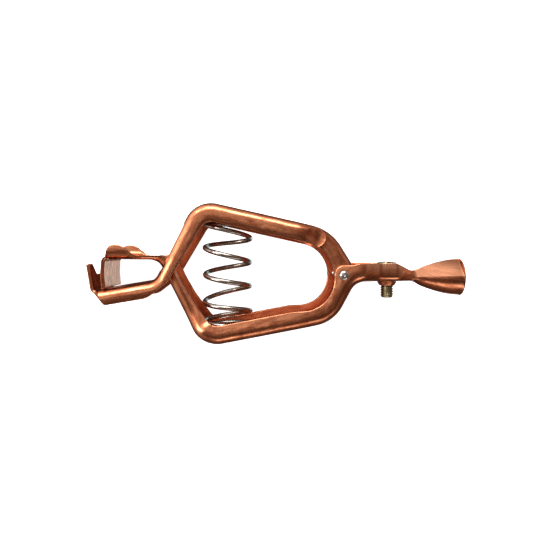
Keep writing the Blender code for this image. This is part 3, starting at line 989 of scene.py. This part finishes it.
def terminal_screw(steel):
    """A slotted cheese-head screw with a rolled thread down to its chamfered end."""
    seat = terminal_stack()[2]
    top = seat + HEAD_HEIGHT
    profile = []
    crown = 0.5
    crown_steps = 6
    corner = 0.6
    for k in range(crown_steps + 1):
        radius = (HEAD_RADIUS - corner) * k / crown_steps
        profile.append((radius, top - crown * (radius / HEAD_RADIUS) ** 2))
    rim = profile[-1][1]
    for angle in quarter_turn(6)[1:]:
        radius = HEAD_RADIUS - corner + corner * math.sin(angle)
        profile.append((radius, rim - corner + corner * math.cos(angle)))
    neck = SCREW_RADIUS - 0.1
    neck_end = seat - 0.2
    profile += [(HEAD_RADIUS, seat + 0.25), (HEAD_RADIUS - 0.2, seat), (neck, seat)]
    profile += [(neck, neck_end), (0.0, neck_end)]
    head = turned("terminal_screw_body", profile, 96, (SCREW_X, 0, 0), (0, 1, 0))
    half = SLOT_WIDTH / 2.0
    slot_floor = top - SLOT_DEPTH
    slot_top = top + 1.0
    draft = 0.12

    def slot_at(grow):
        wide = half + grow
        wider = wide + draft
        return [(-wide, slot_floor), (wide, slot_floor), (wider, slot_top), (-wider, slot_top)]

    place = (SCREW_X, 0.0, 0.0)
    levels = [(-7.0, 0.0), (7.0, 0.0)]
    cutter = layered_prism("slot_cutter", slot_at, levels, Matrix.Identity(3), place)
    apply_boolean(head, cutter, "DIFFERENCE")
    mesh = bmesh.new()
    mesh.from_mesh(head.data)
    sides = 72
    rows_per_pitch = 14
    thread_top = seat - 0.1
    length = thread_top - SCREW_END_Y
    count = math.ceil(length / SCREW_PITCH * rows_per_pitch)
    rings = []
    for n in range(count + 1):
        height = SCREW_END_Y + length * n / count
        ring = []
        for k in range(sides):
            angle = math.tau * k / sides
            radius = thread_radius(angle, height, thread_top)
            at = (SCREW_X + radius * math.sin(angle), height, radius * math.cos(angle))
            ring.append(mesh.verts.new(placed(*at)))
        rings.append(ring)
    threads = wall_faces(mesh, rings)
    for ring, height in ((rings[0], SCREW_END_Y + 0.05), (rings[-1], thread_top)):
        hub = mesh.verts.new(placed(SCREW_X, height, 0.0))
        for k in range(sides):
            threads.append(mesh.faces.new((ring[k], ring[(k + 1) % sides], hub)))
    bmesh.ops.recalc_face_normals(mesh, faces=threads)
    mesh.to_mesh(head.data)
    mesh.free()
    finish_piece(head, steel, "terminal_screw", "terminal_screw")


# ---------------------------------------------------------------- materials


def new_look(name, metallic):
    look = bpy.data.materials.new(name)
    look.use_nodes = True
    shader = look.node_tree.nodes["Principled BSDF"]
    shader.inputs["Metallic"].default_value = metallic
    return look, look.node_tree, shader


def add_node(tree, kind, inputs, **settings):
    """A node with its settings, and each input either linked to a socket or set to a value."""
    node = tree.nodes.new(kind)
    for key, value in settings.items():
        setattr(node, key, value)
    for key, value in inputs.items():
        if isinstance(value, bpy.types.NodeSocket):
            tree.links.new(value, node.inputs[key])
        else:
            node.inputs[key].default_value = value
    return node


def noise(tree, vector, scale, detail, roughness=0.55, distortion=0.0):
    inputs = {"Vector": vector, "Scale": scale, "Detail": detail}
    inputs.update({"Roughness": roughness, "Distortion": distortion})
    return add_node(tree, "ShaderNodeTexNoise", inputs).outputs["Fac"]


def remap(tree, value, low, high, to_low, to_high):
    inputs = {"Value": value, "From Min": low, "From Max": high}
    inputs.update({"To Min": to_low, "To Max": to_high})
    return add_node(tree, "ShaderNodeMapRange", inputs).outputs["Result"]


def math_node(tree, operation, *values):
    return add_node(tree, "ShaderNodeMath", dict(enumerate(values)), operation=operation).outputs[0]


def multiplied(tree, first, second):
    return math_node(tree, "MULTIPLY", first, second)


def mix_colour(tree, factor, first, second):
    node = tree.nodes.new("ShaderNodeMix")
    node.data_type = "RGBA"
    node.clamp_factor = True
    tree.links.new(factor, node.inputs["Factor"])
    for key, value in (("A", first), ("B", second)):
        socket = next(s for s in node.inputs if s.name == key and s.type == "RGBA")
        if isinstance(value, bpy.types.NodeSocket):
            tree.links.new(value, socket)
        else:
            socket.default_value = (*value, 1.0)
    return next(s for s in node.outputs if s.type == "RGBA")


def stretched(tree, socket, scale):
    inputs = {"Vector": socket, "Scale": scale}
    return add_node(tree, "ShaderNodeMapping", inputs).outputs["Vector"]


def bumped(tree, shader, heights):
    """Chains a bump for each (height socket, strength, distance), ending at the shader."""
    normal = None
    for height, strength, distance in heights:
        inputs = {"Height": height, "Strength": strength, "Distance": distance}
        if normal is not None:
            inputs["Normal"] = normal
        normal = add_node(tree, "ShaderNodeBump", inputs).outputs["Normal"]
    tree.links.new(normal, shader.inputs["Normal"])


def sheet_copper(name, pale, dark, rubbed, metallic):
    """Rolled copper sheet: draw streaks, patchy tarnish, rubbed edges and shallow shaping."""
    look, tree, shader = new_look(name, metallic)
    coords = tree.nodes.new("ShaderNodeTexCoord")
    place = coords.outputs["Object"]
    lines = noise(tree, stretched(tree, coords.outputs["UV"], (90.0, 1100.0, 1.0)), 1.0, 3.0)
    streaks = noise(tree, stretched(tree, coords.outputs["UV"], (130.0, 520.0, 1.0)), 1.0, 4.0, 0.6)
    patches = noise(tree, place, 210.0, 4.0, 0.6, 0.4)
    specks = noise(tree, place, 1100.0, 3.0, 0.6)
    wide = noise(tree, place, 38.0, 2.0)
    tarnish = remap(tree, streaks, 0.40, 0.64, 0.0, 1.0)
    base = mix_colour(tree, tarnish, pale, dark)
    middle = tuple((a + b) / 2.0 for a, b in zip(pale, dark))
    base = mix_colour(tree, remap(tree, wide, 0.35, 0.7, 0.0, 0.5), base, middle)
    brown = tuple(0.5 * value for value in dark)
    base = mix_colour(tree, remap(tree, patches, 0.55, 0.72, 0.0, 0.55), base, brown)
    base = mix_colour(tree, remap(tree, specks, 0.56, 0.74, 0.0, 0.5), base, brown)
    base = mix_colour(tree, remap(tree, lines, 0.55, 0.8, 0.0, 0.35), base, rubbed)
    geometry = tree.nodes.new("ShaderNodeNewGeometry")
    edge = remap(tree, geometry.outputs["Pointiness"], 0.515, 0.60, 0.0, 1.0)
    worn = multiplied(tree, edge, remap(tree, specks, 0.3, 0.6, 0.4, 0.9))
    base = mix_colour(tree, worn, base, rubbed)
    tree.links.new(base, shader.inputs["Base Color"])
    rough = remap(tree, streaks, 0.3, 0.75, 0.20, 0.34)
    rough = math_node(tree, "ADD", rough, remap(tree, lines, 0.3, 0.7, -0.04, 0.06))
    rough = math_node(tree, "SUBTRACT", rough, multiplied(tree, worn, 0.08))
    tree.links.new(rough, shader.inputs["Roughness"])
    spot = add_node(tree, "ShaderNodeSeparateXYZ", {"Vector": place})
    spun = remap(tree, spot.outputs["X"], *TURNED_X, 0.0, 1.0)
    unturned = math_node(tree, "SUBTRACT", 1.0, spun)
    dents = multiplied(tree, noise(tree, place, 170.0, 2.0), unturned)
    bumps = [(dents, 0.5, 0.00025), (lines, 0.14, 0.00003), (specks, 0.10, 0.00003)]
    split = add_node(tree, "ShaderNodeSeparateXYZ", {"Vector": coords.outputs["UV"]})
    from_web = math_node(tree, "ABSOLUTE", split.outputs["Y"])
    roll_start, roll_end = (distance * MM for distance in FLANGE_ROLL)
    beyond = remap(tree, from_web, roll_start, roll_end, 0.0, 1.0)
    roll = math_node(tree, "SUBTRACT", 1.0, multiplied(tree, beyond, beyond))
    bumps.append((roll, 1.0, FLANGE_ROLL_DEPTH * MM))
    turning = noise(tree, stretched(tree, place, (2600.0, 20.0, 20.0)), 1.0, 2.0)
    bumps.append((multiplied(tree, turning, spun), 0.35, 0.00003))
    ends = {0: place, 1: placed(*DENT_PLACE)}
    away = add_node(tree, "ShaderNodeVectorMath", ends, operation="DISTANCE").outputs["Value"]
    dimple = remap(tree, away, 0.0, DENT_RADIUS * MM, 0.0, 1.0)
    bumps.append((multiplied(tree, dimple, dimple), 1.0, DENT_DEPTH * MM))
    bumped(tree, shader, bumps)
    return look


def spring_steel():
    """Drawn spring wire: lengthways die marks and small dark specks of scale."""
    look, tree, shader = new_look("drawn_spring_wire", 1.0)
    coords = tree.nodes.new("ShaderNodeTexCoord")
    lines = noise(tree, stretched(tree, coords.outputs["UV"], (120.0, 3200.0, 1.0)), 1.0, 2.0)
    specks = noise(tree, coords.outputs["Object"], 900.0, 3.0)
    scale = remap(tree, specks, 0.5, 0.7, 0.0, 0.8)
    base = mix_colour(tree, scale, (0.33, 0.29, 0.25), (0.12, 0.09, 0.07))
    base = mix_colour(tree, remap(tree, lines, 0.5, 0.75, 0.0, 0.5), base, (0.55, 0.50, 0.45))
    tree.links.new(base, shader.inputs["Base Color"])
    tree.links.new(remap(tree, specks, 0.3, 0.7, 0.16, 0.34), shader.inputs["Roughness"])
    bumped(tree, shader, ((lines, 0.2, 0.00002), (specks, 0.15, 0.00003)))
    return look


def rivet_steel():
    """Bright plated steel, a little uneven in colour and surface."""
    look, tree, shader = new_look("plated_rivet_steel", 1.0)
    coords = tree.nodes.new("ShaderNodeTexCoord")
    specks = noise(tree, coords.outputs["Object"], 1600.0, 3.0)
    patches = noise(tree, coords.outputs["Object"], 420.0, 2.0)
    dull = remap(tree, patches, 0.4, 0.7, 0.0, 1.0)
    base = mix_colour(tree, dull, (0.56, 0.54, 0.52), (0.36, 0.32, 0.29))
    tree.links.new(base, shader.inputs["Base Color"])
    tree.links.new(remap(tree, specks, 0.3, 0.7, 0.14, 0.30), shader.inputs["Roughness"])
    bumped(tree, shader, ((specks, 0.15, 0.00003), (patches, 0.2, 0.00005)))
    return look


def zinc_plate():
    """Yellow passivated zinc plate, uneven in colour, with a slightly grained surface."""
    look, tree, shader = new_look("yellow_zinc_plate", 1.0)
    coords = tree.nodes.new("ShaderNodeTexCoord")
    patches = noise(tree, coords.outputs["Object"], 320.0, 3.0, 0.6, 0.6)
    specks = noise(tree, coords.outputs["Object"], 1900.0, 3.0)
    dull = remap(tree, patches, 0.35, 0.7, 0.0, 1.0)
    base = mix_colour(tree, dull, (0.40, 0.34, 0.20), (0.24, 0.20, 0.13))
    base = mix_colour(tree, remap(tree, specks, 0.55, 0.75, 0.0, 0.5), base, (0.62, 0.60, 0.52))
    tree.links.new(base, shader.inputs["Base Color"])
    tree.links.new(remap(tree, patches, 0.3, 0.7, 0.24, 0.42), shader.inputs["Roughness"])
    bumped(tree, shader, ((specks, 0.2, 0.00003), (patches, 0.15, 0.00005)))
    return look


# ---------------------------------------------------------------- studio


def floor():
    """A plain white floor that glows, so that it stays white, and that reflections leave out."""
    mesh = bmesh.new()
    bmesh.ops.create_grid(mesh, x_segments=8, y_segments=8, size=FLOOR_HALF)
    obj = new_object("studio_floor", mesh)
    obj.location.z = -FLOOR_DROP
    look, tree, shader = new_look("studio_floor", 0.0)
    coords = tree.nodes.new("ShaderNodeTexCoord")
    grain = noise(tree, coords.outputs["Object"], 40.0, 3.0)
    base = mix_colour(tree, grain, (0.93, 0.93, 0.93), (0.96, 0.96, 0.96))
    tree.links.new(base, shader.inputs["Base Color"])
    shader.inputs["Roughness"].default_value = 0.9
    shader.inputs["Specular IOR Level"].default_value = 0.2
    shader.inputs["Emission Color"].default_value = (1.0, 1.0, 1.0, 1.0)
    shader.inputs["Emission Strength"].default_value = 1.0
    obj.data.materials.append(look)
    obj.visible_glossy = False


def ramped(tree, axes, ramps):
    """The product of ramps over a direction's X, Y and Z."""
    level = None
    for axis, *ramp in ramps:
        factor = remap(tree, axes.outputs[axis], *ramp)
        level = factor if level is None else multiplied(tree, level, factor)
    return level


def world():
    """Soft surroundings: a band of light round the sides, a cap overhead and a pale, cool patch."""
    scene = bpy.context.scene
    scene.world = bpy.data.worlds.new("studio")
    scene.world.use_nodes = True
    tree = scene.world.node_tree
    back = tree.nodes["Background"]
    coords = tree.nodes.new("ShaderNodeTexCoord")
    axes = add_node(tree, "ShaderNodeSeparateXYZ", {"Vector": coords.outputs["Generated"]})
    band = ramped(tree, axes, BAND_RAMPS)
    cap = ramped(tree, axes, CAP_RAMPS)
    patch = ramped(tree, axes, PATCH_RAMPS)
    level = math_node(tree, "ADD", band, cap)
    lifted = math_node(tree, "MULTIPLY_ADD", patch, PATCH_LEVEL, LOWEST_LEVEL)
    level = math_node(tree, "ADD", level, lifted)
    tree.links.new(level, back.inputs["Strength"])
    bright = remap(tree, level, 0.1, 0.7, 0.0, 1.0)
    colour = mix_colour(tree, bright, (1.0, 0.64, 0.48), (1.0, 0.985, 0.97))
    colour = mix_colour(tree, patch, colour, (0.55, 0.80, 0.88))
    tree.links.new(colour, back.inputs["Color"])


def softbox(name, place, size, energy):
    data = bpy.data.lights.new(name, "AREA")
    data.shape = "RECTANGLE"
    data.size, data.size_y = size
    data.energy = energy
    obj = bpy.data.objects.new(name, data)
    bpy.context.scene.collection.objects.link(obj)
    obj.location = place
    obj.rotation_euler = (-Vector(place)).to_track_quat("-Z", "Y").to_euler()


def camera():
    """Looks straight down on the clamp, with the lens shifted to place it in the picture."""
    data = bpy.data.cameras.new("camera")
    data.lens = CAMERA_LENS
    data.sensor_width = 36.0
    data.clip_start = 0.01
    obj = bpy.data.objects.new("camera", data)
    bpy.context.scene.collection.objects.link(obj)
    data.shift_x, data.shift_y = CAMERA_SHIFT
    obj.location = CAMERA_PLACE
    bpy.context.scene.camera = obj


def studio():
    bpy.context.scene.view_settings.view_transform = "Standard"
    floor()
    world()
    for settings in SOFTBOXES:
        softbox(*settings)
    camera()


def pieces():
    outside = sheet_copper("sheet_copper", **OUTSIDE_COPPER)
    # The second copper is the outside copper's darker, redder, less metallic copy: painted shade and
    # painted reflection inside the channels.
    inside = sheet_copper("sheet_copper_painted_shade", **SHADE_PAINTED_COPPER)
    copper = (outside, inside)
    plated = (rivet_steel(),)
    zinc = (zinc_plate(),)
    upper_arm(copper)
    lower_arm(copper)
    spring((spring_steel(),))
    pivot_rivet("pivot_rivet_near", 1.0, "pivot_rivet_front", plated)
    pivot_rivet("pivot_rivet_far", -1.0, "pivot_rivet_back", plated)
    flat_washer(zinc)
    lock_washer(zinc)
    terminal_screw(zinc)


pieces()
studio()
